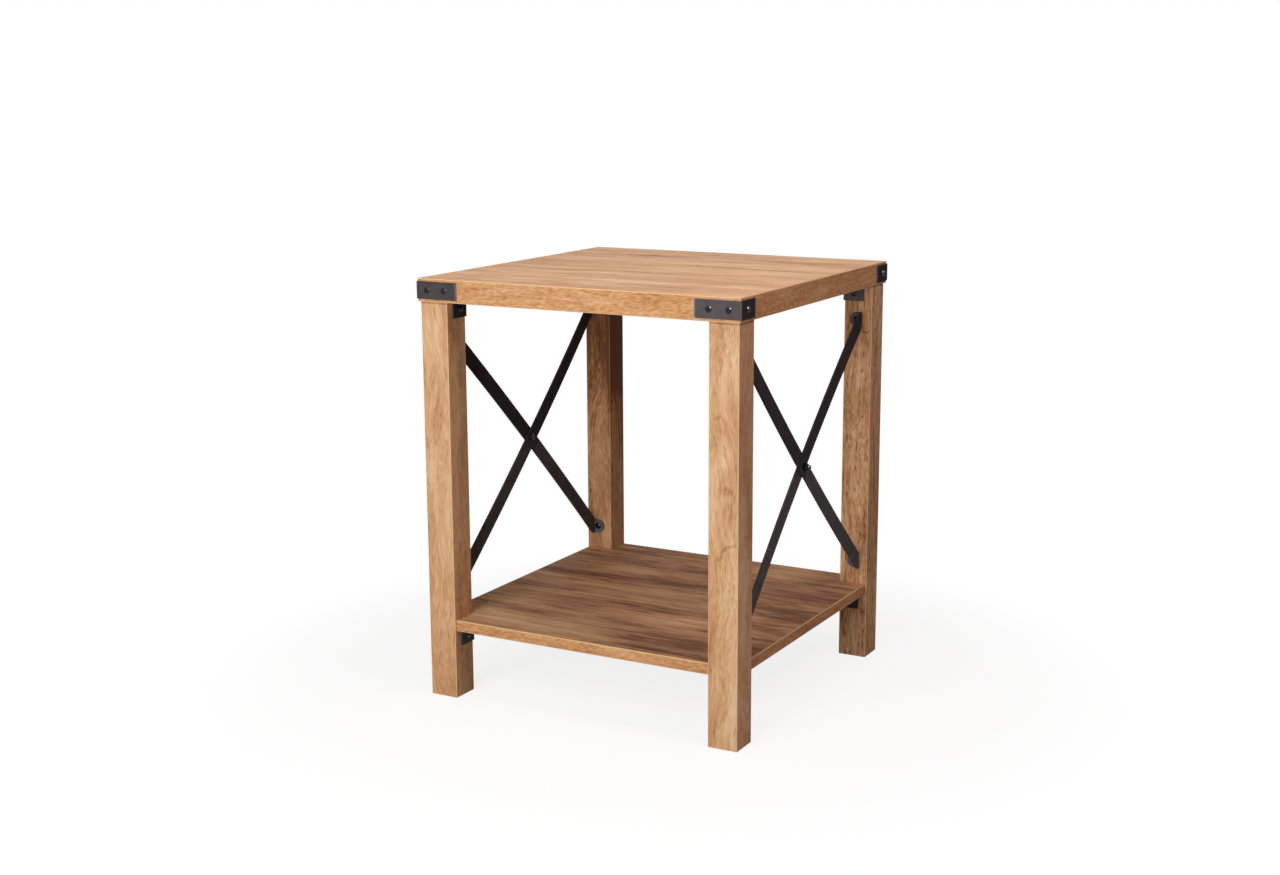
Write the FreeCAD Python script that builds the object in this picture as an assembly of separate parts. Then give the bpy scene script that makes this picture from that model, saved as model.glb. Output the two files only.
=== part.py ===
import FreeCAD, Part
import math
import os
from FreeCAD import Vector

# Lamp table: a thick square top on four square legs, a notched shelf low down between them,
# folded steel plates on the top's corners, folded brackets inside the legs and crossed steel
# braces at the two sides. Millimetres, +Z up, front towards -Y, origin on the floor at the middle.

# Table
table_width = 457.0
table_depth = 457.0
table_height = 556.0

# Boards of the top and the shelf, with bands glued along their edges
top_thickness = 30.0
shelf_thickness = 15.0
band_thickness = 2.0
panel_arris = 1.5

# Legs, set back a little under the top
leg_side = 40.0
leg_setback = 2.8
leg_arris = 1.0

# Shelf between the legs
shelf_height = 106.6
shelf_setback = 2.4
notch_clearance = 0.4

# Corner plates: the long leaf lies on the front or back edge, the short one on the side edge
plate_thickness = 1.5
plate_height = 22.5
plate_long_reach = 60.0
plate_short_reach = 36.6
plate_near_screw = 15.0
plate_far_screw = 41.0
plate_side_screw = 16.5
plate_screw_head_radius = 4.0
plate_screw_head_height = 2.7
plate_screw_rim = 0.5
plate_screw_radius = 1.6
plate_screw_gap = 1.4

# Brackets: two leaves wrap the leg's inner corner and two tabs lie under the board
bracket_thickness = 2.2
bracket_leaf_width = 28.0
bracket_leaf_height = 21.4
bracket_tab_width = 20.0
bracket_tab_reach = 20.0
bracket_tab_bend = 1.0

# Screws that hold the bracket tabs to the boards
board_screw_head_radius = 3.6
board_screw_head_height = 2.2
board_screw_rim = 0.6
board_screw_radius = 1.75
board_screw_cover = 5.0

# Cross recess of the screws
recess_span = 4.4
recess_width = 0.9
recess_depth = 1.2

# Bolts into the legs and the insert nuts that take them
bolt_radius = 2.5
bolt_head_radius = 4.6
bolt_head_height = 3.3
bolt_rim = 0.7
bolt_socket_flats = 3.0
bolt_socket_depth = 1.6
insert_radius = 4.0
insert_gap = 1.0
insert_hole_end = 0.5

# Braces: flat bars that bow inwards to where they cross, with a tab folded at each end
bar_width = 20.0
bar_thickness = 2.5
bar_bow = 5.0
bar_bend = 0.6
bar_corner_drop = 2.0
brace_drop = 46.5
brace_rise = 33.6
head_clearance = 0.2

# Bolt and cap nut at the crossing
centre_head_radius = 5.0
centre_head_height = 2.4
centre_rim = 0.6
nut_flats = 9.0
nut_hex_height = 4.6
nut_dome_radius = 4.1
nut_height = 10.0
nut_bore_depth = 7.0
nut_bore_gap = 0.8

# Fits
hole_clearance = 0.1
fold_clearance = 0.3
lap_clearance = 0.1
overrun = 5.0

# Heights and half sizes that several pieces share
half_width = table_width / 2
half_depth = table_depth / 2
top_underside = table_height - top_thickness
shelf_underside = shelf_height - shelf_thickness
leg_outer_x = half_width - leg_setback
leg_outer_y = half_depth - leg_setback
leg_inner_x = leg_outer_x - leg_side
leg_inner_y = leg_outer_y - leg_side
leg_centre_x = (leg_outer_x + leg_inner_x) / 2
brace_upper = top_underside - brace_drop
brace_lower = shelf_height + brace_rise
brace_middle = (brace_upper + brace_lower) / 2

# The two inserts that meet at a leg's inner corner stop short of each other
insert_length = bracket_leaf_width / 2 - insert_radius - insert_gap
# The screws of a corner plate stop short of the ones that cross them
plate_screw_depth = plate_near_screw - plate_screw_radius - plate_screw_gap
board_screw_depth = shelf_thickness - board_screw_cover

UP = Vector(0, 0, 1)
ALONG_X = Vector(1, 0, 0)
ALONG_Y = Vector(0, 1, 0)
ORIGIN = Vector(0, 0, 0)
CORNERS = {"front_left": (-1, -1), "front_right": (1, -1), "back_left": (-1, 1), "back_right": (1, 1)}


def block(low, high):
    """Box between two corners."""
    size = high - low
    return Part.makeBox(size.x, size.y, size.z, low)


def prism(points, sweep):
    """Solid swept from the polygon through points."""
    return Part.Face(Part.makePolygon(points + points[:1])).extrude(sweep)


def rod(start, direction, radius, length):
    """Cylinder from start along direction."""
    return Part.makeCylinder(radius, length, start, direction)


def line(start, end):
    return Part.LineSegment(start, end).toShape()


def arc(centre, radius, start_angle, end_angle):
    """Circular edge about a vertical axis, angles in radians."""
    angles = (start_angle, (start_angle + end_angle) / 2, end_angle)
    points = [centre + Vector(math.cos(a), math.sin(a), 0) * radius for a in angles]
    return Part.Arc(*points).toShape()


def placed(shape, seat, direction):
    """Copy of a shape that stands on z = 0, set on a seat with its +Z along direction."""
    copy = shape.copy()
    copy.Placement = FreeCAD.Placement(seat, FreeCAD.Rotation(UP, direction))
    return copy


def mirrored(shape, side_x, side_y):
    """Copy of a back right piece for the corner or side with these signs."""
    copy = shape.copy()
    if side_x < 0:
        copy = copy.mirror(ORIGIN, ALONG_X)
    if side_y < 0:
        copy = copy.mirror(ORIGIN, ALONG_Y)
    return copy


def swapped(shape):
    """Copy of a piece on one inner face of the back right leg for the other inner face."""
    return shape.mirror(Vector(leg_inner_x, leg_inner_y, 0), Vector(1, -1, 0))


def at_corners(*shapes):
    """Copies of back right pieces at all four corners, as one group."""
    return Part.makeCompound([mirrored(s, *signs) for signs in CORNERS.values() for s in shapes])


def save(name, shape):
    shape.exportStep("parts/" + name + ".step")


# Sheet metal


def bent_sheet(reach_a, reach_b, thickness, inner_radius, height):
    """Folded strip, its inner faces on y = 0 and x = 0 and its leaves towards -X and -Y."""
    centre = Vector(-inner_radius, -inner_radius, 0)
    outer_radius = inner_radius + thickness
    edges = [
        line(Vector(-reach_a, 0, 0), Vector(-inner_radius, 0, 0)),
        arc(centre, inner_radius, math.pi / 2, 0),
        line(Vector(0, -inner_radius, 0), Vector(0, -reach_b, 0)),
        line(Vector(0, -reach_b, 0), Vector(thickness, -reach_b, 0)),
        line(Vector(thickness, -reach_b, 0), Vector(thickness, -inner_radius, 0)),
        arc(centre, outer_radius, 0, math.pi / 2),
        line(Vector(-inner_radius, thickness, 0), Vector(-reach_a, thickness, 0)),
        line(Vector(-reach_a, thickness, 0), Vector(-reach_a, 0, 0)),
    ]
    return Part.Face(Part.Wire(edges)).extrude(UP * height)


# Fasteners, each standing on z = 0 with its shank below


def domed_pin(head_radius, head_height, rim, shank_radius, shank_length):
    """Round head with a rim and a dome, on a plain shank."""
    rise = head_height - rim
    dome_radius = (head_radius ** 2 + rise ** 2) / (2 * rise)
    slope = math.asin(head_radius / dome_radius) / 2
    on_dome = Vector(dome_radius * math.sin(slope), 0, head_height - dome_radius * (1 - math.cos(slope)))
    crown = Vector(0, 0, head_height)
    shoulder = Vector(head_radius, 0, rim)
    corners = [
        shoulder,
        Vector(head_radius, 0, 0),
        Vector(shank_radius, 0, 0),
        Vector(shank_radius, 0, -shank_length),
        Vector(0, 0, -shank_length),
        crown,
    ]
    edges = [line(a, b) for a, b in zip(corners, corners[1:])]
    edges.append(Part.Arc(crown, on_dome, shoulder).toShape())
    return Part.Face(Part.Wire(edges)).revolve(ORIGIN, UP, 360)


def hexagon(flats, z):
    radius = flats / math.sqrt(3)
    turns = [math.radians(60 * i) for i in range(6)]
    return [Vector(radius * math.cos(a), radius * math.sin(a), z) for a in turns]


def cross_screw(head_radius, head_height, rim, shank_radius, shank_length):
    """Domed screw with a cross recess."""
    screw = domed_pin(head_radius, head_height, rim, shank_radius, shank_length)
    floor = head_height - recess_depth
    half_span = recess_span / 2
    half_slot = recess_width / 2
    roof = head_height + overrun
    slot = block(Vector(-half_span, -half_slot, floor), Vector(half_span, half_slot, roof))
    cross_slot = block(Vector(-half_slot, -half_span, floor), Vector(half_slot, half_span, roof))
    return screw.cut(slot.fuse(cross_slot))


def socket_bolt(head_radius, head_height, rim, shank_length):
    """Domed bolt with a hexagon socket."""
    bolt = domed_pin(head_radius, head_height, rim, bolt_radius, shank_length)
    socket = prism(hexagon(bolt_socket_flats, head_height - bolt_socket_depth), UP * (bolt_socket_depth + overrun))
    return bolt.cut(socket)


def insert_nut():
    """Sleeve that lies below z = 0, bored for a bolt."""
    sleeve = rod(ORIGIN, -UP, insert_radius, insert_length)
    return sleeve.cut(rod(ORIGIN, -UP, bolt_radius + hole_clearance, insert_length))


def insert_hole(seat, direction):
    """Cutter for an insert's hole in a leg, from a seat on the leg's face."""
    return rod(seat, -direction, insert_radius + hole_clearance, insert_length + insert_hole_end)


def cap_nut():
    """Hexagon nut with a closed round cap, standing on z = 0."""
    hexagonal = prism(hexagon(nut_flats, 0), UP * nut_hex_height)
    neck_height = nut_height - nut_dome_radius - nut_hex_height
    neck = rod(UP * nut_hex_height, UP, nut_dome_radius, neck_height)
    dome = Part.makeSphere(nut_dome_radius, UP * (nut_height - nut_dome_radius), UP, 0, 90, 360)
    bore = rod(ORIGIN, UP, bolt_radius + hole_clearance, nut_bore_depth)
    return hexagonal.fuse([neck, dome]).cut(bore).removeSplitter()


# Boards


def board(reach_x, reach_y, low, high, round_corners):
    """Board centred on the origin with rounded edges, upright corner edges too if asked."""
    slab = block(Vector(-reach_x, -reach_y, low), Vector(reach_x, reach_y, high))
    edges = [e for e in slab.Edges if round_corners or e.BoundBox.ZLength < panel_arris]
    return slab.makeFillet(panel_arris, edges)


def banded(shape, reach_x, reach_y, low, high):
    """Core and edge bands that a board is cut into, by name."""
    core_x = reach_x - band_thickness
    core_y = reach_y - band_thickness
    core = block(Vector(-core_x, -core_y, low), Vector(core_x, core_y, high))
    band_y = block(Vector(-reach_x, core_y, low), Vector(reach_x, reach_y, high))
    band_x = block(Vector(core_x, -core_y, low), Vector(reach_x, core_y, high))
    return {
        "panel": shape.common(core),
        "edge_band_front": shape.common(mirrored(band_y, 1, -1)),
        "edge_band_back": shape.common(band_y),
        "edge_band_left": shape.common(mirrored(band_x, -1, 1)),
        "edge_band_right": shape.common(band_x),
    }


# Corner plates of the top and their screws

plate_centre = (top_underside + table_height) / 2
plate_screws = [
    (Vector(half_width - plate_near_screw, half_depth + plate_thickness, plate_centre), ALONG_Y),
    (Vector(half_width - plate_far_screw, half_depth + plate_thickness, plate_centre), ALONG_Y),
    (Vector(half_width + plate_thickness, half_depth - plate_side_screw, plate_centre), ALONG_X),
]
plate_screw = cross_screw(
    plate_screw_head_radius, plate_screw_head_height, plate_screw_rim,
    plate_screw_radius, plate_thickness + plate_screw_depth)
plate_screw_holes = [
    rod(seat, -direction, plate_screw_radius + hole_clearance, plate_thickness + plate_screw_depth)
    for seat, direction in plate_screws]

corner_plate = bent_sheet(
    plate_long_reach, plate_short_reach, plate_thickness, panel_arris - fold_clearance, plate_height)
corner_plate.translate(Vector(half_width, half_depth, plate_centre - plate_height / 2))
corner_plate = corner_plate.cut(plate_screw_holes)

# Brackets under the top and the shelf, with their bolts, inserts and screws

bracket_bolt = socket_bolt(
    bolt_head_radius, bolt_head_height, bolt_rim, bracket_thickness + insert_length)
board_screw = cross_screw(
    board_screw_head_radius, board_screw_head_height, board_screw_rim,
    board_screw_radius, bracket_thickness + board_screw_depth)
bracket_middle_y = leg_inner_y + bracket_leaf_width / 2


def bolt_seat(board_face):
    """Middle of the bracket leaf on the leg's side face, under a board's lower face."""
    return Vector(leg_inner_x, bracket_middle_y, board_face - bracket_leaf_height / 2)


def screw_seat(board_face):
    """Middle of the flat stretch of that leaf's tab, on the board's lower face."""
    bend_reach = bracket_thickness + bracket_tab_bend
    return Vector(leg_inner_x - (bend_reach + bracket_tab_reach) / 2, bracket_middle_y, board_face)


def bracket_holes(board_face):
    """Cutters for the bolt and the screw of one leaf and its tab."""
    bolt_hole = rod(
        bolt_seat(board_face), -ALONG_X, bolt_radius + hole_clearance, bracket_thickness + overrun)
    screw_hole = rod(
        screw_seat(board_face), -UP, board_screw_radius + hole_clearance, bracket_thickness + overrun)
    return [bolt_hole, screw_hole]


def board_screw_hole(board_face):
    """Cutter for a tab's screw in the board above it."""
    return rod(screw_seat(board_face), UP, board_screw_radius + hole_clearance, board_screw_depth)


def bracket(board_face):
    """Folded bracket of the back right leg, hung from a board's lower face."""
    bend_reach = bracket_thickness + bracket_tab_bend
    leaves = bent_sheet(
        bracket_leaf_width, bracket_leaf_width, bracket_thickness,
        leg_arris - fold_clearance, bracket_leaf_height - bend_reach)
    leaves.rotate(ORIGIN, UP, 180)
    leaves.translate(Vector(leg_inner_x, leg_inner_y, board_face - bracket_leaf_height))
    tab = bent_sheet(
        bracket_tab_reach - bracket_thickness, bracket_leaf_height - bracket_thickness,
        bracket_thickness, bracket_tab_bend, bracket_tab_width)
    tab.rotate(ORIGIN, ALONG_X, 90)
    tab.translate(Vector(
        leg_inner_x - bracket_thickness,
        bracket_middle_y + bracket_tab_width / 2,
        board_face - bracket_thickness))
    holes = bracket_holes(board_face)
    holes += [swapped(h) for h in holes]
    return leaves.fuse([tab, swapped(tab)]).cut(holes).removeSplitter()


def bracket_fasteners(shape, seat, direction):
    """Group of a fastener on both leaves of every bracket in a set."""
    one = placed(shape, seat, direction)
    return at_corners(one, swapped(one))


# Braces of the right side

lap = bar_thickness + lap_clearance
bar_outer_bend = bar_bend + bar_thickness
tab_radius = bar_width / 2
bar_radius = (leg_inner_y ** 2 + bar_bow ** 2) / (2 * bar_bow)
outer_bolt_x = leg_centre_x + lap / 2
bend_x = outer_bolt_x + bolt_head_radius + head_clearance
bend_y = leg_inner_y - bar_outer_bend
bow_centre_x = bend_x + math.sqrt((bar_radius + bar_outer_bend) ** 2 - bend_y ** 2)
bar_middle_x = bow_centre_x - bar_radius


def bar_plan():
    """Outline of the outer bar from above: tab, fold, bowed bar, fold and tab."""
    turn = math.atan2(-bend_y, bow_centre_x - bend_x)
    back_bend = Vector(bend_x, bend_y, 0)
    front_bend = Vector(bend_x, -bend_y, 0)
    bow_centre = Vector(bow_centre_x, 0, 0)
    outer_y = leg_inner_y
    inner_y = leg_inner_y - bar_thickness
    corners = [
        Vector(bend_x, inner_y, 0),
        Vector(outer_bolt_x, inner_y, 0),
        Vector(outer_bolt_x, outer_y, 0),
        Vector(bend_x, outer_y, 0),
    ]
    flipped = [Vector(c.x, -c.y, 0) for c in reversed(corners)]
    edges = [line(a, b) for a, b in zip(corners, corners[1:])]
    edges.append(arc(back_bend, bar_outer_bend, math.pi / 2, turn))
    edges.append(arc(bow_centre, bar_radius, math.pi + turn, math.pi - turn))
    edges.append(arc(front_bend, bar_outer_bend, -turn, -math.pi / 2))
    edges += [line(a, b) for a, b in zip(flipped, flipped[1:])]
    edges.append(arc(front_bend, bar_bend, -math.pi / 2, -turn))
    edges.append(arc(bow_centre, bar_radius + bar_thickness, math.pi - turn, math.pi + turn))
    edges.append(arc(back_bend, bar_bend, turn, math.pi / 2))
    return Part.Face(Part.Wire(edges))


def bar_elevation():
    """Outline of the outer bar from the side: high at the front leg, low at the back one."""
    high = brace_upper + tab_radius
    low = brace_lower - tab_radius
    front_corner = Vector(0, -bend_y, brace_upper - tab_radius - bar_corner_drop)
    back_corner = Vector(0, bend_y, brace_lower + tab_radius + bar_corner_drop)
    diagonal = back_corner - front_corner
    fall = math.atan2(-diagonal.z, diagonal.y) + math.asin(bar_width / diagonal.Length)
    front_clip = bend_y - (high - back_corner.z) / math.tan(fall)
    points = [
        Vector(0, -leg_inner_y, brace_upper - tab_radius),
        Vector(0, -leg_inner_y, high),
        Vector(0, front_clip, high),
        back_corner,
        Vector(0, bend_y, brace_lower + tab_radius),
        Vector(0, leg_inner_y, brace_lower + tab_radius),
        Vector(0, leg_inner_y, low),
        Vector(0, -front_clip, low),
        front_corner,
        Vector(0, -bend_y, brace_upper - tab_radius),
    ]
    return [p + ALONG_X * leg_inner_x for p in points]


def tab_end(seat, direction):
    """Half disc that rounds a tab off on the inner side of its bolt."""
    disc = rod(seat, direction, tab_radius, bar_thickness)
    inner_half = block(
        Vector(outer_bolt_x - bar_width, -half_depth, 0), Vector(outer_bolt_x, half_depth, table_height))
    return disc.common(inner_half)


def outer_bar():
    """Outer bar of the right side."""
    sheet = bar_plan()
    sheet.translate(UP * (brace_lower - bar_width))
    sheet = sheet.extrude(UP * (brace_upper - brace_lower + 2 * bar_width))
    bar = sheet.common(prism(bar_elevation(), ALONG_X * leg_side))
    front_tab = Vector(outer_bolt_x, -leg_inner_y, brace_upper)
    back_tab = Vector(outer_bolt_x, leg_inner_y, brace_lower)
    hole_radius = bolt_radius + hole_clearance
    tab_ends = [tab_end(front_tab, ALONG_Y), tab_end(back_tab, -ALONG_Y)]
    middle = Vector(leg_inner_x, 0, brace_middle)
    holes = [
        rod(front_tab, ALONG_Y, hole_radius, bar_thickness + overrun),
        rod(back_tab, -ALONG_Y, hole_radius, bar_thickness + overrun),
        rod(middle, ALONG_X, hole_radius, leg_side),
    ]
    return bar.fuse(tab_ends).removeSplitter().cut(holes)


def brace_bolt_x(side_y, height):
    """Place across the leg of the brace bolt at one height of the front or back right leg."""
    on_outer_bar = (side_y < 0) == (height > brace_middle)
    return outer_bolt_x if on_outer_bar else outer_bolt_x - lap


def brace_seats(side_y):
    """Seats of the brace bolts on the front or back right leg, and the way that they face."""
    return [
        (Vector(brace_bolt_x(side_y, z), side_y * leg_inner_y, z), ALONG_Y * -side_y)
        for z in (brace_upper, brace_lower)]


# Legs


def right_leg(side_y):
    """Front or back leg of the right side, with the holes for its inserts."""
    post = block(Vector(leg_inner_x, leg_inner_y, 0), Vector(leg_outer_x, leg_outer_y, top_underside))
    edges = [e for e in post.Edges if e.BoundBox.ZMin < leg_arris]
    post = post.makeFillet(leg_arris, edges)
    holes = []
    for face in (top_underside, shelf_underside):
        hole = insert_hole(bolt_seat(face), -ALONG_X)
        holes += [hole, swapped(hole)]
    post = mirrored(post.cut(holes), 1, side_y)
    return post.cut([insert_hole(seat, direction) for seat, direction in brace_seats(side_y)])


# Nodes

os.makedirs("parts", exist_ok=True)

screw_holes_in_top = [board_screw_hole(top_underside), swapped(board_screw_hole(top_underside))]
top = board(half_width, half_depth, top_underside, table_height, True)
top = top.cut(at_corners(*plate_screw_holes, *screw_holes_in_top))
for name, shape in banded(top, half_width, half_depth, top_underside, table_height).items():
    save("top_" + name, shape)

shelf_reach_x = leg_outer_x - shelf_setback
shelf_reach_y = leg_outer_y - shelf_setback
shelf = board(shelf_reach_x, shelf_reach_y, shelf_underside, shelf_height, False)
notch = block(
    Vector(leg_inner_x - notch_clearance, leg_inner_y - notch_clearance, 0),
    Vector(leg_outer_x, leg_outer_y, table_height))
screw_holes_in_shelf = [board_screw_hole(shelf_underside), swapped(board_screw_hole(shelf_underside))]
shelf = shelf.cut(at_corners(notch, *screw_holes_in_shelf))
for name, shape in banded(shelf, shelf_reach_x, shelf_reach_y, shelf_underside, shelf_height).items():
    save("shelf_" + name, shape)

for corner, (side_x, side_y) in CORNERS.items():
    save("leg_" + corner, mirrored(right_leg(side_y), side_x, 1))
    save("corner_plate_" + corner, mirrored(corner_plate, side_x, side_y))
    save("top_bracket_" + corner, mirrored(bracket(top_underside), side_x, side_y))
    save("shelf_bracket_" + corner, mirrored(bracket(shelf_underside), side_x, side_y))

save("corner_plate_screws", at_corners(*[placed(plate_screw, *seat) for seat in plate_screws]))
for board_name, face in (("top", top_underside), ("shelf", shelf_underside)):
    leaf_seat = bolt_seat(face) - ALONG_X * bracket_thickness
    tab_seat = screw_seat(face) - UP * bracket_thickness
    save(board_name + "_bracket_bolts", bracket_fasteners(bracket_bolt, leaf_seat, -ALONG_X))
    save(board_name + "_bracket_inserts", bracket_fasteners(insert_nut(), bolt_seat(face), -ALONG_X))
    save(board_name + "_bracket_screws", bracket_fasteners(board_screw, tab_seat, -UP))

right_outer_bar = outer_bar()
right_inner_bar = mirrored(right_outer_bar, 1, -1)
right_inner_bar.translate(ALONG_X * -lap)
centre_bolt = socket_bolt(
    centre_head_radius, centre_head_height, centre_rim, 2 * lap + nut_bore_depth - nut_bore_gap)
centre_head_seat = Vector(bar_middle_x - 2 * lap, 0, brace_middle)
centre_nut_seat = Vector(bar_middle_x + lap_clearance, 0, brace_middle)
brace_bolt = socket_bolt(bolt_head_radius, bolt_head_height, bolt_rim, bar_thickness + insert_length)
end_seats = brace_seats(-1) + brace_seats(1)
sides = {
    "left": -1,
    "right": 1,
}
for side, side_x in sides.items():
    save("brace_outer_bar_" + side, mirrored(right_outer_bar, side_x, 1))
    save("brace_inner_bar_" + side, mirrored(right_inner_bar, side_x, 1))


def at_sides(*shapes):
    """Copies of right side pieces at both sides, as one group."""
    return Part.makeCompound([mirrored(s, side_x, 1) for side_x in sides.values() for s in shapes])


save("brace_end_bolts", at_sides(*[placed(brace_bolt, p + d * bar_thickness, d) for p, d in end_seats]))
save("brace_inserts", at_sides(*[placed(insert_nut(), p, d) for p, d in end_seats]))
save("brace_centre_bolts", at_sides(placed(centre_bolt, centre_head_seat, -ALONG_X)))
save("brace_cap_nuts", at_sides(placed(cap_nut(), centre_nut_seat, ALONG_X)))
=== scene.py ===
import math

import bpy
from mathutils import Matrix, Vector


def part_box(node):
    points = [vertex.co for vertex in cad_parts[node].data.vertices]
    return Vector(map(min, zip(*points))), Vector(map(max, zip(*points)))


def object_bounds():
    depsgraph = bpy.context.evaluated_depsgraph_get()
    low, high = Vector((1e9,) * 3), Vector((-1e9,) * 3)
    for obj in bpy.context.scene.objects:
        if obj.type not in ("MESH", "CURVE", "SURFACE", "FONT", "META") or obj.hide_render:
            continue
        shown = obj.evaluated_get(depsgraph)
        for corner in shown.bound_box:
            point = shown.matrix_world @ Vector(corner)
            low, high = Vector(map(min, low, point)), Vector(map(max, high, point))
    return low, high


# Lamp table in oak laminate with black powder-coated fittings. Metres, front towards -Y.

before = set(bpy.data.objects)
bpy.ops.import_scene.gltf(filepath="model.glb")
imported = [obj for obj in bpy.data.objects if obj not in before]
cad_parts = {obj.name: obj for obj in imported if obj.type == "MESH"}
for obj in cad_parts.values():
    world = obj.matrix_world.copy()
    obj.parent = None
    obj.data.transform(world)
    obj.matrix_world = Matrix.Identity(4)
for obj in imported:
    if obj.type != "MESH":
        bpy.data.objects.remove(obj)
cad_low, cad_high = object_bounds()

MM = 0.001
QUARTER = math.pi / 2
CORNERS = ("front_left", "front_right", "back_left", "back_right")
EDGES = ("front", "back", "left", "right")
SIDES = ("left", "right")
FASTENERS = (
    "corner_plate_screws", "top_bracket_bolts", "top_bracket_screws", "shelf_bracket_bolts",
    "shelf_bracket_screws", "brace_end_bolts", "brace_centre_bolts", "brace_cap_nuts",
)
INSERTS = ("top_bracket_inserts", "shelf_bracket_inserts", "brace_inserts")


# Node trees


class Nodes:
    """Short-hand for a material's or the world's node tree."""

    def __init__(self, owner):
        owner.use_nodes = True
        self.tree = owner.node_tree
        self.tree.nodes.clear()

    def add(self, kind, inputs=None, **settings):
        node = self.tree.nodes.new("ShaderNode" + kind)
        for key, value in settings.items():
            setattr(node, key, value)
        for key, value in (inputs or {}).items():
            self.feed(node.inputs[key], value)
        return node

    def feed(self, socket, value):
        if isinstance(value, bpy.types.NodeSocket):
            self.tree.links.new(value, socket)
        else:
            socket.default_value = value

    def place(self):
        """Coordinates in the table's frame, as no node is moved from it."""
        return self.add("TexCoord").outputs["Object"]

    def math(self, operation, a, b=0.0, c=0.0):
        return self.add("Math", {0: a, 1: b, 2: c}, operation=operation).outputs[0]

    def vector(self, operation, a, b=(0.0, 0.0, 0.0)):
        return self.add("VectorMath", {0: a, 1: b}, operation=operation).outputs[0]

    def scaled(self, vector, scale):
        return self.vector("MULTIPLY", vector, scale)

    def stretched(self, along, share):
        """Grain coordinates scaled in length, which draws a pattern out along the grain."""
        return self.scaled(along, (share, 1.0, 1.0))

    def length(self, vector):
        return self.add("VectorMath", {0: vector}, operation="LENGTH").outputs["Value"]

    def axis(self, vector, axis):
        return self.add("SeparateXYZ", {0: vector}).outputs[axis]

    def noise(self, vector, scale, detail=2.0, roughness=0.5):
        inputs = {"Vector": vector, "Scale": scale, "Detail": detail, "Roughness": roughness}
        return self.add("TexNoise", inputs).outputs["Fac"]

    def jitter(self, vector, scale, detail):
        """Vectors of noise round zero."""
        inputs = {"Vector": vector, "Scale": scale, "Detail": detail}
        colour = self.add("TexNoise", inputs).outputs["Color"]
        return self.vector("SUBTRACT", colour, (0.5, 0.5, 0.5))

    def wander(self, vector, scale, reach):
        """Offsets across the grain, up to the reach each way."""
        return self.scaled(self.jitter(vector, scale, 1.0), (0.0, 2 * reach, 2 * reach))

    def band(self, value, low, high, out_low=0.0, out_high=1.0):
        """Smooth step of a value from low to high."""
        inputs = {0: value, 1: low, 2: high, 3: out_low, 4: out_high}
        return self.add("MapRange", inputs, interpolation_type="SMOOTHSTEP").outputs[0]

    def ramp(self, value, stops):
        node = self.add("ValToRGB", {0: value})
        elements = node.color_ramp.elements
        while len(elements) < len(stops):
            elements.new(0.5)
        for element, (position, colour) in zip(elements, stops):
            element.position = position
            element.color = (*colour, 1.0)
        return node.outputs[0]

    def mix(self, factor, a, b):
        return self.add("Mix", {0: factor, 6: a, 7: b}, data_type="RGBA").outputs[2]

    def bump(self, height, strength, distance):
        inputs = {"Strength": strength, "Distance": distance, "Height": height}
        return self.add("Bump", inputs).outputs[0]

    def surface(self, shader):
        self.add("OutputMaterial", {"Surface": shader})

    def principled(self, inputs):
        self.surface(self.add("BsdfPrincipled", inputs).outputs[0])


def new_material(name):
    material = bpy.data.materials.new(name)
    return material, Nodes(material)


def srgb(red, green, blue):
    """Linear colour of an 8-bit screen colour."""
    def linear(value):
        share = value / 255
        return share / 12.92 if share <= 0.04045 else ((share + 0.055) / 1.055) ** 2.4
    return (linear(red), linear(green), linear(blue))


# Wood

# Turns that lay the grain's direction along X
GRAIN_TURNS = {"X": (0.0, 0.0, 0.0), "Y": (0.0, 0.0, -QUARTER), "Z": (0.0, QUARTER, 0.0)}
# Colours of the figure's values, from dark to light
OAK_STOPS = (
    (0.00, srgb(122, 83, 57)),
    (0.16, srgb(158, 108, 71)),
    (0.36, srgb(196, 147, 105)),
    (0.50, srgb(212, 163, 119)),
    (0.62, srgb(223, 179, 136)),
    (0.80, srgb(234, 198, 158)),
)
BAND_STOPS = (
    (0.20, srgb(166, 104, 56)),
    (0.38, srgb(197, 140, 92)),
    (0.50, srgb(213, 160, 112)),
    (0.62, srgb(224, 176, 129)),
    (0.80, srgb(235, 196, 152)),
)
# The shelf's colours are darker than the top's, as painted shade under the top
SHELF_SHADED_STOPS = (
    (0.04, srgb(112, 76, 53)),
    (0.31, srgb(148, 104, 75)),
    (0.51, srgb(192, 147, 111)),
    (0.65, srgb(208, 162, 121)),
    (0.77, srgb(219, 176, 134)),
    (0.95, srgb(231, 196, 157)),
)
PORE_COLOUR = (*srgb(134, 84, 48), 1.0)
# Colour of the painted highlight along the wood's rounded edges
EDGE_HIGHLIGHT_COLOUR = (*srgb(240, 203, 158), 1.0)
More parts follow.
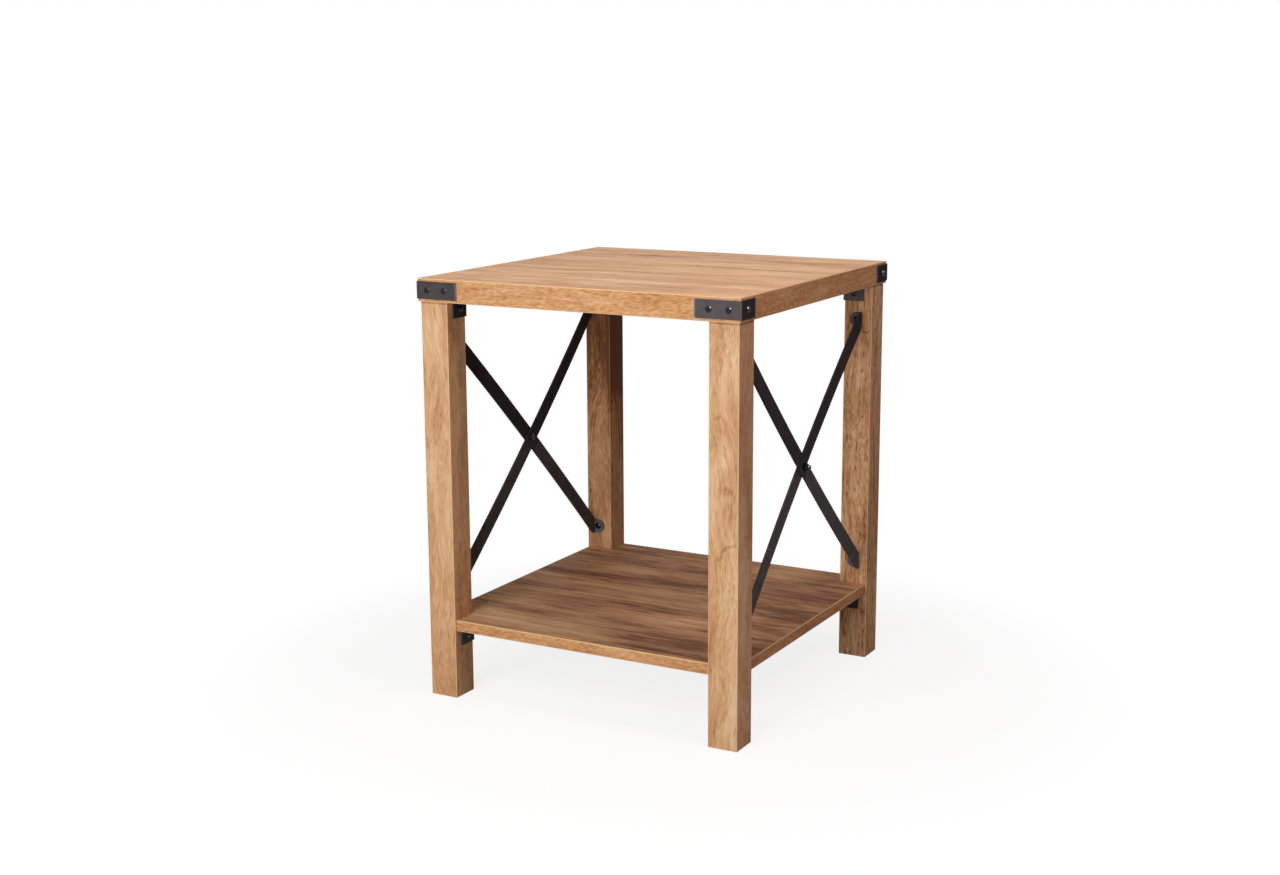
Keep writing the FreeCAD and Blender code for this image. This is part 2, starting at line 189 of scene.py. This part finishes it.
# How each kind of piece shows the grain: its colours and sheen, the reach of its drift, the reach and
# scale of the fibres' ripple, then the share, scale and stretch of each layer of the figure
CUTS = {
    "top": {
        "stops": OAK_STOPS, "sheen": 0.10, "drift": 14 * MM, "ripple": (3 * MM, 36.0),
        "cloud": (0.78, 22.0, 0.09), "patch": (0.52, 46.0, 0.22),
        "streak": (0.60, 130.0, 0.03), "fibre": (0.60, 560.0, 0.08),
    },
    "shelf": {
        "stops": SHELF_SHADED_STOPS, "sheen": 0.02, "drift": 13 * MM, "ripple": (3 * MM, 40.0),
        "cloud": (1.10, 22.0, 0.09), "patch": (0.80, 46.0, 0.20),
        "streak": (0.70, 130.0, 0.035), "fibre": (0.62, 520.0, 0.08),
    },
    "band": {
        "stops": BAND_STOPS, "sheen": 0.02, "drift": 12 * MM, "ripple": (2.6 * MM, 60.0),
        "cloud": (0.35, 24.0, 0.14), "patch": (0.15, 46.0, 0.34),
        "streak": (0.30, 170.0, 0.08), "fibre": (0.62, 560.0, 0.22),
    },
    "leg": {
        "stops": OAK_STOPS, "sheen": 0.015, "drift": 36 * MM, "ripple": (2 * MM, 40.0),
        "cloud": (0.58, 22.0, 0.17), "patch": (0.42, 44.0, 0.30),
        "streak": (0.46, 150.0, 0.045), "fibre": (0.66, 620.0, 0.10),
    },
}
# Detail and roughness of the layers' noise
LAYER_DETAIL = {"cloud": 2.0, "patch": 1.0, "streak": 3.0, "fibre": 1.0}
LAYER_ROUGHNESS = 0.55
DRIFT_SCALE = 9.0
DRIFT_STRETCH = 0.5
RIPPLE_STRETCH = 0.8
# Scale of the patches where the fibres ripple, and the noise values between which they set in
RIPPLE_PATCH_SCALE = 8.0
RIPPLE_PATCH = (0.40, 0.62)
PORE_SCALE = 640.0
PORE_STRETCH = 0.10
# Noise values between which a dash sets in, and streak values between which dashes come to full strength
PORE_DASH = (0.56, 0.68)
PORE_STREAK = (0.58, 0.42)
# Roughness of the face, and what the clouds and the pores add to it
OAK_ROUGHNESS = 0.44
CLOUD_ROUGHNESS = 0.16
PORE_ROUGHNESS = 0.12
# Height of the fibres and of the pores in the relief, its strength and its depth
FIBRE_HEIGHT = 0.4
PORE_HEIGHT = -0.6
OAK_RELIEF = 0.25
OAK_RELIEF_DEPTH = 0.3 * MM
# Share of a patch's reach that is darkened or lightened in full, and of an edge's width that carries the
# painted highlight in full
PATCH_CORE = 0.25
ARRIS_CORE = 0.4
# Unrest of a knot's line, the part of its circle that shows, and how deep the line goes
KNOT_UNREST = 12 * MM
KNOT_UNREST_SCALE = 120.0
KNOT_ARC = (0.45, 0.9)
KNOT_DEPTH = (3 * MM, 6 * MM)


def wavy(n, along, cut):
    """Grain coordinates bent by a broad drift and, in patches, by a short ripple of the fibres."""
    drift = n.wander(n.stretched(along, DRIFT_STRETCH), DRIFT_SCALE, cut["drift"])
    reach, scale = cut["ripple"]
    waves = n.wander(n.stretched(along, RIPPLE_STRETCH), scale, reach)
    patch = n.noise(n.stretched(along, DRIFT_STRETCH), RIPPLE_PATCH_SCALE, 1.0)
    patch = n.band(patch, *RIPPLE_PATCH)
    bent = n.vector("ADD", along, drift)
    ripple = n.add("VectorMath", {0: waves, "Scale": patch}, operation="SCALE").outputs[0]
    return n.vector("ADD", bent, ripple)


def figure_and_shade_patch(n, place, centre, reach, share):
    """Soft lighter or darker patch in millimetres of the table's frame, for the figure and for painted
    shade.
    """
    offset = n.vector("SUBTRACT", place, tuple(c * MM for c in centre))
    away = n.length(n.vector("DIVIDE", offset, tuple(r * MM for r in reach)))
    return n.band(away, PATCH_CORE, 1.0, share, 0.0)


def crescent(n, place, centre, radius, width, side, share):
    """Thin uneven line of a knot on a leg's front face, bowed round one side of its middle."""
    unrest = n.scaled(n.jitter(place, KNOT_UNREST_SCALE, 2.0), (KNOT_UNREST,) * 3)
    offset = n.vector("SUBTRACT", place, tuple(c * MM for c in centre))
    flat = n.scaled(n.vector("ADD", offset, unrest), (1.0, 0.0, 1.0))
    away = n.math("ABSOLUTE", n.math("SUBTRACT", n.length(flat), radius * MM))
    line = n.band(away, 0.0, width * MM, share, 0.0)
    facing = n.add("VectorMath", {0: flat, 1: side}, operation="DOT_PRODUCT").outputs["Value"]
    part = n.band(facing, *(bound * radius * MM for bound in KNOT_ARC))
    skin = n.band(n.math("ABSOLUTE", n.axis(offset, "Y")), *KNOT_DEPTH, 1.0, 0.0)
    return n.math("MULTIPLY", n.math("MULTIPLY", line, part), skin)


def arris(n, place, low, high, width):
    """Share of a box's edges, where a highlight is painted: one where a point is near two of its faces.
    """
    middle = tuple((a + b) / 2 for a, b in zip(low, high))
    half = tuple((b - a) / 2 for a, b in zip(low, high))
    depth = n.vector("SUBTRACT", half, n.vector("ABSOLUTE", n.vector("SUBTRACT", place, middle)))
    x, y, z = (n.axis(depth, axis) for axis in "XYZ")
    least = n.math("MINIMUM", x, y)
    most = n.math("MAXIMUM", x, y)
    second = n.math("MAXIMUM", least, n.math("MINIMUM", most, z))
    return n.band(second, ARRIS_CORE * width, width, 1.0, 0.0)


def oak(
    name, grain, cut, seed, edges,
    figure_and_shade=(), crescents=(), tone_and_painted_light=0.0, pores=0.30, edge_highlight=0.75, vigour=1.0,
):
    """Oak laminate: drifting streaks, rippled fibres, pores, figure, patches of painted shade, painted
    highlights along the edges and satin sheen.
    """
    material, n = new_material(name)
    place = n.place()
    turn = {"Vector": place, "Rotation": GRAIN_TURNS[grain], "Location": seed}
    along = n.add("Mapping", turn).outputs[0]
    bent = wavy(n, along, cut)

    layers = {}
    value = 0.5 + tone_and_painted_light
    for layer, detail in LAYER_DETAIL.items():
        share, scale, stretch = cut[layer]
        share *= vigour if layer in ("streak", "fibre") else 1.0
        layers[layer] = n.noise(n.stretched(bent, stretch), scale, detail, LAYER_ROUGHNESS)
        value = n.math("MULTIPLY_ADD", n.math("SUBTRACT", layers[layer], 0.5), share, value)
    for one in figure_and_shade:
        value = n.math("ADD", value, figure_and_shade_patch(n, place, *one))
    for one in crescents:
        value = n.math("ADD", value, crescent(n, place, *one))
    colour = n.ramp(value, cut["stops"])

    # Pores lie in the fibres as short dark dashes, denser in some streaks
    dash = n.noise(n.stretched(bent, PORE_STRETCH), PORE_SCALE, 1.0)
    pore = n.math("MULTIPLY", n.band(dash, *PORE_DASH), n.band(layers["streak"], *PORE_STREAK))
    colour = n.mix(n.math("MULTIPLY", pore, pores), colour, PORE_COLOUR)
    # Painted highlight along the rounded edges, weaker on a leg in shade
    edge_highlight_mask = arris(n, place, *edges)
    colour = n.mix(n.math("MULTIPLY", edge_highlight_mask, edge_highlight), colour, EDGE_HIGHLIGHT_COLOUR)

    rough = n.math("MULTIPLY_ADD", layers["cloud"], CLOUD_ROUGHNESS, OAK_ROUGHNESS)
    rough = n.math("MULTIPLY_ADD", pore, PORE_ROUGHNESS, rough)
    relief = n.math("MULTIPLY", pore, PORE_HEIGHT)
    relief = n.math("MULTIPLY_ADD", layers["fibre"], FIBRE_HEIGHT, relief)
    n.principled({
        "Base Color": colour,
        "Roughness": rough,
        "Specular IOR Level": cut["sheen"],
        "Normal": n.bump(relief, OAK_RELIEF, OAK_RELIEF_DEPTH),
    })
    return material


# Metal

# Colour of painted light: on the bars' end tabs and below their crossing, and along the plates' bends
PAINTED_LIGHT_COLOUR = (0.20, 0.19, 0.195, 1.0)
# Colour of painted shade on the plates' short side wings
PAINTED_SHADE_COLOUR = (0.010, 0.008, 0.008, 1.0)
COATS = {
    "plate": {"base": (0.076, 0.066, 0.069), "roughness": 0.50, "specular": 0.004, "grit": 0.25},
    "bar": {"base": (0.048, 0.041, 0.045), "roughness": 0.55, "specular": 0.006, "grit": 0.12},
    "fastener": {"base": (0.004, 0.004, 0.005), "roughness": 0.16, "specular": 0.30, "grit": 0.02},
}
# Detail and roughness of the metals' noise
METAL_NOISE = (3.0, 0.6)
# Clouds of the coat: scale, the noise values between which they run, then their range of tint
# and of roughness
COAT_CLOUD_SCALE = 60.0
COAT_CLOUD = (0.3, 0.7)
CLOUD_TINTS = (0.86, 1.14)
CLOUD_RANGE = 0.10
PEBBLE_SCALE = 1500.0
PEBBLE_DEPTH = 0.15 * MM
# Clouds along an edge, and the share of painted highlight in them
EDGE_CLOUD = (0.35, 0.65)
EDGE_HIGHLIGHT_SHARE = (0.5, 0.8)
SPANGLE_SCALE = 420.0
ZINC_STOPS = ((0.35, (0.36, 0.35, 0.33)), (0.65, (0.58, 0.57, 0.54)))
# Roughness of the zinc, and what its spangle adds to it
ZINC_ROUGHNESS = 0.28
SPANGLE_ROUGHNESS = 0.2


def along_edges(low, high, width):
    """Painted highlight along the edges of a box, as uneven as the coat's clouds."""
    def mark(n, place, cloud):
        near = arris(n, place, low, high, width)
        return n.math("MULTIPLY", near, n.band(cloud, *EDGE_CLOUD, *EDGE_HIGHLIGHT_SHARE))
    return mark


def beyond(axis, start, full, least, most):
    """Painted mark past a place along an axis, both ways, between the least and the most share: light on
    the bars, shade on the plates' wings.
    """
    def mark(n, place, cloud):
        out = n.math("ABSOLUTE", n.axis(place, axis))
        return n.math("MULTIPLY", n.band(out, start, full), n.band(cloud, *COAT_CLOUD, least, most))
    return mark


def powder_coat(name, coat, tone_and_painted_light=1.0, painted_marks=()):
    """Black powder coat: a fine pebbled skin with clouds, scaled in tone and painted light, with marks
    of painted light and shade on top.
    """
    material, n = new_material(name)
    place = n.place()
    cloud = n.noise(place, COAT_CLOUD_SCALE, *METAL_NOISE)
    pebble = n.noise(place, PEBBLE_SCALE, 2.0)
    base = tuple(tone_and_painted_light * c for c in coat["base"])
    dark, light = ((*(tint * c for c in base), 1.0) for tint in CLOUD_TINTS)
    colour = n.mix(n.band(cloud, *COAT_CLOUD), dark, light)
    for mark, tint in painted_marks:
        colour = n.mix(mark(n, place, cloud), colour, tint)
    n.principled({
        "Base Color": colour,
        "Roughness": n.math("MULTIPLY_ADD", cloud, CLOUD_RANGE, coat["roughness"] - CLOUD_RANGE / 2),
        "Specular IOR Level": coat["specular"],
        "Normal": n.bump(pebble, coat["grit"], PEBBLE_DEPTH),
    })
    return material


def zinc(name):
    """Plain zinc of the hidden insert nuts."""
    material, n = new_material(name)
    spangle = n.noise(n.place(), SPANGLE_SCALE, *METAL_NOISE)
    colour = n.ramp(spangle, ZINC_STOPS)
    rough = n.math("MULTIPLY_ADD", spangle, SPANGLE_ROUGHNESS, ZINC_ROUGHNESS)
    n.principled({"Base Color": colour, "Roughness": rough, "Metallic": 1.0})
    return material


# Wooden pieces


def dress(node, material):
    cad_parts[node].material_slots[0].material = material


def around(nodes):
    """Lowest and highest corner of several nodes together."""
    boxes = [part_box(node) for node in nodes]
    low = tuple(min(box[0][axis] for box in boxes) for axis in range(3))
    high = tuple(max(box[1][axis] for box in boxes) for axis in range(3))
    return low, high


def spread(seed, step, i):
    """Place of the i-th piece of a kind in the grain's pattern."""
    return tuple(start + i * one for start, one in zip(seed, step))


# Figure seen in the photograph, with patches of painted shade. A patch has its centre and reach in
# millimetres, then how much lighter it is. A crescent has its centre, radius and width in millimetres,
# the side it bows to, then the same.
# A reach of ANY takes in the whole table.
ANY = 1000
TOP_STAINS = (
    ((158, 147, 556), (95, 14, ANY), -0.16),
    ((-121, -64, 556), (80, 9, ANY), -0.12),
    ((77, -31, 556), (70, 8, ANY), -0.12),
    ((-81, 150, 556), (110, 10, ANY), -0.12),
    ((-96, 28, 556), (70, 12, ANY), 0.12),
)
SHELF_FIGURE_AND_SHADE = (
    ((73, -56, 107), (140, 22, ANY), -0.26),
    ((-60, 60, 107), (150, 9, ANY), -0.14),
    ((-157, 17, 107), (70, 9, ANY), -0.14),
    ((10, -75, 107), (110, 6, ANY), -0.20),
    ((-30, 130, 107), (140, 14, ANY), -0.12),
    ((-90, -150, 107), (120, 10, ANY), 0.12),
    ((40, -20, 107), (110, 12, ANY), 0.12),
    ((-199, -136, 107), (9, 3, ANY), -0.30),
    # Painted shade: the shelf's right half darkened under the top, then the painted shadow of the front
    # right leg at the front
    ((190, 20, 107), (120, 190, ANY), -0.18),
    ((105, -180, 107), (130, 50, ANY), -0.30),
)
LEGS = {
    "front_left": {
        "figure_and_shade": (
            ((-208, -226, 290), (14, 9, 60), 0.14),
            ((-200, -226, 488), (9, 9, 40), 0.12),
            ((-206, -226, 110), (34, 12, 120), 0.12),
        ),
        "tone_and_painted_light": 0.01, "pores": 0.40, "edge_highlight": 0.75, "vigour": 0.82,
    },
    "front_right": {
        "figure_and_shade": (
            ((209, -226, 324), (13, 6, 9), -0.20),
            ((208, -226, 368), (14, 9, 26), 0.14),
            ((206, -226, 460), (34, 12, 80), 0.12),
            ((206, -226, 60), (34, 12, 80), 0.08),
        ),
        "crescents": (((222, -226, 236), 22, 4.2, (-0.7, 0.0, 0.7), -0.26),),
        "tone_and_painted_light": 0.04, "pores": 0.45, "edge_highlight": 0.75, "vigour": 0.82,
    },
    "back_left": {
        # Painted shade: the back left leg's front and right faces darken towards the top, under the top
        # and behind the other legs; its edges get a weaker painted highlight
        "figure_and_shade": (
            ((-206, 186, 560), (ANY, 9, 420), -0.17),
            ((-206, 186, 500), (60, 9, 225), -0.22),
            ((-186, 206, 560), (9, ANY, 420), -0.40),
            ((-186, 206, 500), (9, 60, 225), -0.34),
        ),
        "tone_and_painted_light": -0.01, "pores": 0.55, "edge_highlight": 0.30, "vigour": 1.15,
    },
    "back_right": {
        "figure_and_shade": (
            ((209, 186, 225), (12, 10, 55), 0.22),
            ((211, 186, 410), (9, 10, 60), 0.16),
            ((194, 186, 330), (8, 10, 80), -0.12),
        ),
        "crescents": (((216, 186, 470), 8, 1.8, (0.2, 0.0, -0.98), -0.32),),
        "tone_and_painted_light": -0.02, "pores": 0.95, "edge_highlight": 0.75, "vigour": 1.45,
    },
}
# Height in millimetres, and darkness, of the painted shadow that the top's overhang casts where a leg
# meets the top
LEG_TOP_SHADOW_HEIGHT = 4
LEG_TOP_SHADOW_SHARE = -0.40
# Widths of the painted highlights along the edges
BOARD_HIGHLIGHT_WIDTH = 1.7 * MM
LEG_HIGHLIGHT_WIDTH = 1.2 * MM
# Places of the pieces in the grain's pattern, with the steps from one band or leg to the next
BOARD_SEEDS = {"top": (0.13, 0.07, 0.31), "shelf": (1.71, 0.42, 0.77)}
BAND_SEEDS = {"top": (3.1, 0.0, 0.21), "shelf": (7.4, 0.0, 0.21)}
BAND_STEP = (0.83, 0.37, 0.0)
LEG_SEED = (11.3, 0.0, 0.0)
LEG_STEP = (1.37, 0.61, 0.47)
BOARD_FIGURE_AND_SHADE = {"top": TOP_STAINS, "shelf": SHELF_FIGURE_AND_SHADE}
# The shelf's bands are darker, as painted shade under the top
BAND_TONES_AND_SHELF_SHADE = {"top": -0.02, "shelf": -0.09}

board_edges = {}
for board in ("top", "shelf"):
    edges = (*around(["%s_edge_band_%s" % (board, edge) for edge in EDGES]), BOARD_HIGHLIGHT_WIDTH)
    face = oak("oak_" + board, "X", CUTS[board], BOARD_SEEDS[board], edges, BOARD_FIGURE_AND_SHADE[board])
    dress(board + "_panel", face)
    board_edges[board] = edges
for i, edge in enumerate(EDGES):
    grain = "X" if edge in ("front", "back") else "Y"
    for board, edges in board_edges.items():
        seed = spread(BAND_SEEDS[board], BAND_STEP, i)
        name = "oak_%s_band_%s" % (board, edge)
        band = oak(name, grain, CUTS["band"], seed, edges, tone_and_painted_light=BAND_TONES_AND_SHELF_SHADE[board])
        dress("%s_edge_band_%s" % (board, edge), band)
for i, corner in enumerate(CORNERS):
    seed = spread(LEG_SEED, LEG_STEP, i)
    leg_low, leg_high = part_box("leg_" + corner)
    # Painted shadow under the top's overhang, along each leg's top end
    leg_top_shadow = ((0, 0, leg_high[2] / MM), (ANY, ANY, LEG_TOP_SHADOW_HEIGHT), LEG_TOP_SHADOW_SHARE)
    look = {**LEGS[corner], "figure_and_shade": (*LEGS[corner]["figure_and_shade"], leg_top_shadow)}
    edges = (leg_low, leg_high, LEG_HIGHLIGHT_WIDTH)
    dress("leg_" + corner, oak("oak_leg_" + corner, "Z", CUTS["leg"], seed, edges, **look))

# Metal pieces

# What keeps the painted highlight off the plates' upper and lower edges, and the highlight's width
PLATE_RIM = Vector((0.0, 0.0, 10 * MM))
PLATE_HIGHLIGHT_WIDTH = 2.4 * MM
# Painted light and shade of the coat from corner to corner: the front right plate lighter for its sheen,
# the front left bracket darker for its shaded face, the back right bracket lighter for the front light
# on it
PLATE_PAINTED_SHEEN = {"front_left": 1.0, "front_right": 1.35, "back_left": 1.0, "back_right": 1.0}
BRACKET_PAINTED_LIGHT = {"front_left": 0.5, "front_right": 1.0, "back_left": 1.0, "back_right": 1.9}
# Heights over the crossing between which a bar grows paler with painted light, and the shares of painted
# light below
CROSSING_FADE = (8 * MM, -24 * MM)
CROSSING_PAINTED_LIGHT = (0.30, 0.45)
# Distances from the middle between which a bar's end tab begins, and the shares of painted light there
TAB_START = (181 * MM, 183 * MM)
TAB_PAINTED_LIGHT = (0.30, 0.60)
# Depths under a plate's outer face between which it grows blacker with painted shade, and the shares of
# painted shade there
WING_FADE = (2.5 * MM, 1.0 * MM)
WING_PAINTED_SHADE = (0.55, 0.73)

# Painted light: the bars are paler on their end tabs and below the crossing
bolts_low, bolts_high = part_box("brace_centre_bolts")
crossing = (bolts_low[2] + bolts_high[2]) / 2
bar_painted_light = (
    (beyond("Z", *(crossing + rise for rise in CROSSING_FADE), *CROSSING_PAINTED_LIGHT), PAINTED_LIGHT_COLOUR),
    (beyond("Y", *TAB_START, *TAB_PAINTED_LIGHT), PAINTED_LIGHT_COLOUR),
)
bar_coat = powder_coat("black_bar", COATS["bar"], painted_marks=bar_painted_light)
shelf_bracket_coat = powder_coat("black_shelf_bracket", COATS["plate"])
fastener_coat = powder_coat("black_fastener", COATS["fastener"])
insert_zinc = zinc("insert_zinc")
for corner in CORNERS:
    plate_low, plate_high = (Vector(end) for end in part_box("corner_plate_" + corner))
    outer = max(abs(plate_low.x), abs(plate_high.x))
    rim = (tuple(plate_low - PLATE_RIM), tuple(plate_high + PLATE_RIM))
    # Painted shade: the short wings at the sides are blacker than the long ones. A painted highlight
    # runs down the bend.
    painted_marks = (
        (beyond("X", *(outer - depth for depth in WING_FADE), *WING_PAINTED_SHADE), PAINTED_SHADE_COLOUR),
        (along_edges(*rim, PLATE_HIGHLIGHT_WIDTH), PAINTED_LIGHT_COLOUR),
    )
    plate = powder_coat("black_plate_" + corner, COATS["plate"], PLATE_PAINTED_SHEEN[corner], painted_marks)
    bracket = powder_coat("black_top_bracket_" + corner, COATS["plate"], BRACKET_PAINTED_LIGHT[corner])
    dress("corner_plate_" + corner, plate)
    dress("top_bracket_" + corner, bracket)
    dress("shelf_bracket_" + corner, shelf_bracket_coat)
for side in SIDES:
    dress("brace_outer_bar_" + side, bar_coat)
    dress("brace_inner_bar_" + side, bar_coat)
for node in FASTENERS:
    dress(node, fastener_coat)
for node in INSERTS:
    dress(node, insert_zinc)

# Studio

WHITE = (1.0, 1.0, 1.0)
WARM = (1.0, 0.80, 0.78)
FLOOR_COLOUR = (0.55, 0.55, 0.55, 1.0)
# Part of the shadow's reach that shows its share in full
SHADOW_CORE = 0.6
LAMP_TARGET = (0.0, 0.0, 0.3)
RIGHT_PLACE = (1.20, -0.35, 1.65)


def seen_white(n, plain, white):
    """Shader that shows white to the camera and to reflections, and the plain one to other rays."""
    path = n.add("LightPath").outputs
    shown = n.math("MAXIMUM", path["Is Camera Ray"], path["Is Glossy Ray"])
    shown = n.math("MAXIMUM", shown, path["Is Transmission Ray"])
    return n.add("MixShader", {0: shown, 1: plain, 2: white}).outputs[0]


def studio_world(ambient):
    """White world that itself lights the table only a little."""
    world = bpy.data.worlds.new("studio")
    bpy.context.scene.world = world
    n = Nodes(world)
    plain = n.add("Background", {"Color": (*WHITE, 1.0), "Strength": ambient}).outputs[0]
    white = n.add("Background", {"Color": (*WHITE, 1.0), "Strength": 1.0}).outputs[0]
    n.add("OutputWorld", {"Surface": seen_white(n, plain, white)})


def studio_floor(reach, shadow_share, shadow_reach, floor_light):
    """Pale floor, seen white but for a share of the near shadow. The lamps give it floor_light."""
    mesh = bpy.data.meshes.new("studio_floor")
    corners = [(-reach, -reach, 0.0), (reach, -reach, 0.0), (reach, reach, 0.0), (-reach, reach, 0.0)]
    mesh.from_pydata(corners, [], [(0, 1, 2, 3)])
    floor = bpy.data.objects.new("studio_floor", mesh)
    bpy.context.scene.collection.objects.link(floor)
    material, n = new_material("pale_floor")
    away = n.length(n.place())
    share = n.band(away, SHADOW_CORE * shadow_reach, shadow_reach, shadow_share, 0.0)
    pale = n.add("BsdfDiffuse", {"Color": FLOOR_COLOUR}).outputs[0]
    glow = n.add("Emission", {"Strength": n.math("SUBTRACT", 1.0, share)}).outputs[0]
    # The lamps give back, outside the shadow, what the glow leaves out
    lit = n.add("BsdfDiffuse", {"Color": n.math("MULTIPLY", share, 1 / floor_light)}).outputs[0]
    white = n.add("AddShader", {0: glow, 1: lit}).outputs[0]
    n.surface(seen_white(n, pale, white))
    mesh.materials.append(material)


def soft_box(name, place, size, power, colour=WHITE, mirrored=True, catch_nodes=()):
    """Lamp that faces the table. One with catch nodes is only mirrored, and only in those nodes."""
    lamp = bpy.data.lights.new(name, "AREA")
    lamp.shape = "RECTANGLE"
    lamp.size, lamp.size_y = size
    lamp.energy = power
    lamp.color = colour
    box = bpy.data.objects.new(name, lamp)
    box.visible_glossy = mirrored
    box.location = place
    box.rotation_euler = (Vector(LAMP_TARGET) - Vector(place)).to_track_quat("-Z", "Y").to_euler()
    bpy.context.scene.collection.objects.link(box)
    if catch_nodes:
        box.visible_diffuse = False
        receivers = bpy.data.collections.new(name + "_receivers")
        for node in catch_nodes:
            receivers.objects.link(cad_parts[node])
        box.light_linking.receiver_collection = receivers


table_height = cad_high.z - cad_low.z
studio_world(ambient=0.02)
studio_floor(
    reach=60 * table_height, shadow_share=0.16, shadow_reach=1.2 * table_height, floor_light=0.75,
)
soft_box("front_low_box", (0.0, -1.88, 0.46), (1.0, 0.8), 11.5)
soft_box("front_high_box", (0.0, -1.68, 1.19), (1.0, 1.0), 13.0, mirrored=False)
soft_box("right_box", RIGHT_PLACE, (0.5, 0.5), 8.6, WARM)
soft_box("top_box", (0.0, 0.0, 1.30), (0.9, 0.9), 3.8)
soft_box("catch_box", RIGHT_PLACE, (1.2, 1.2), 180.0, catch_nodes=FASTENERS)
soft_box("back_box", (-1.30, 1.40, 0.16), (1.0, 0.25), 9.0, mirrored=False)

# Camera, fitted to the photograph

CAMERA_AZIMUTH = math.radians(28.363)
CAMERA_YAW = math.radians(0.677)
CAMERA_PITCH = math.radians(11.553)
CAMERA_ROLL = math.radians(-0.278)
CAMERA_DISTANCE = 2.38186
CAMERA_HEIGHT = 0.81594
FOCAL_PIXELS = 1806.41
IMAGE_WIDTH = 1280
SENSOR_WIDTH = 36.0

lens = bpy.data.cameras.new("camera")
lens.sensor_width = SENSOR_WIDTH
lens.lens = FOCAL_PIXELS / IMAGE_WIDTH * SENSOR_WIDTH
camera = bpy.data.objects.new("camera", lens)
eye = Vector((math.sin(CAMERA_AZIMUTH), -math.cos(CAMERA_AZIMUTH), 0.0)) * CAMERA_DISTANCE
eye.z = CAMERA_HEIGHT
heading = Matrix.Rotation(CAMERA_AZIMUTH + CAMERA_YAW, 4, "Z")
aim = heading @ Matrix.Rotation(QUARTER - CAMERA_PITCH, 4, "X")
camera.matrix_world = Matrix.Translation(eye) @ aim @ Matrix.Rotation(CAMERA_ROLL, 4, "Z")
bpy.context.scene.collection.objects.link(camera)
bpy.context.scene.camera = camera
bpy.context.scene.view_settings.view_transform = "Standard"
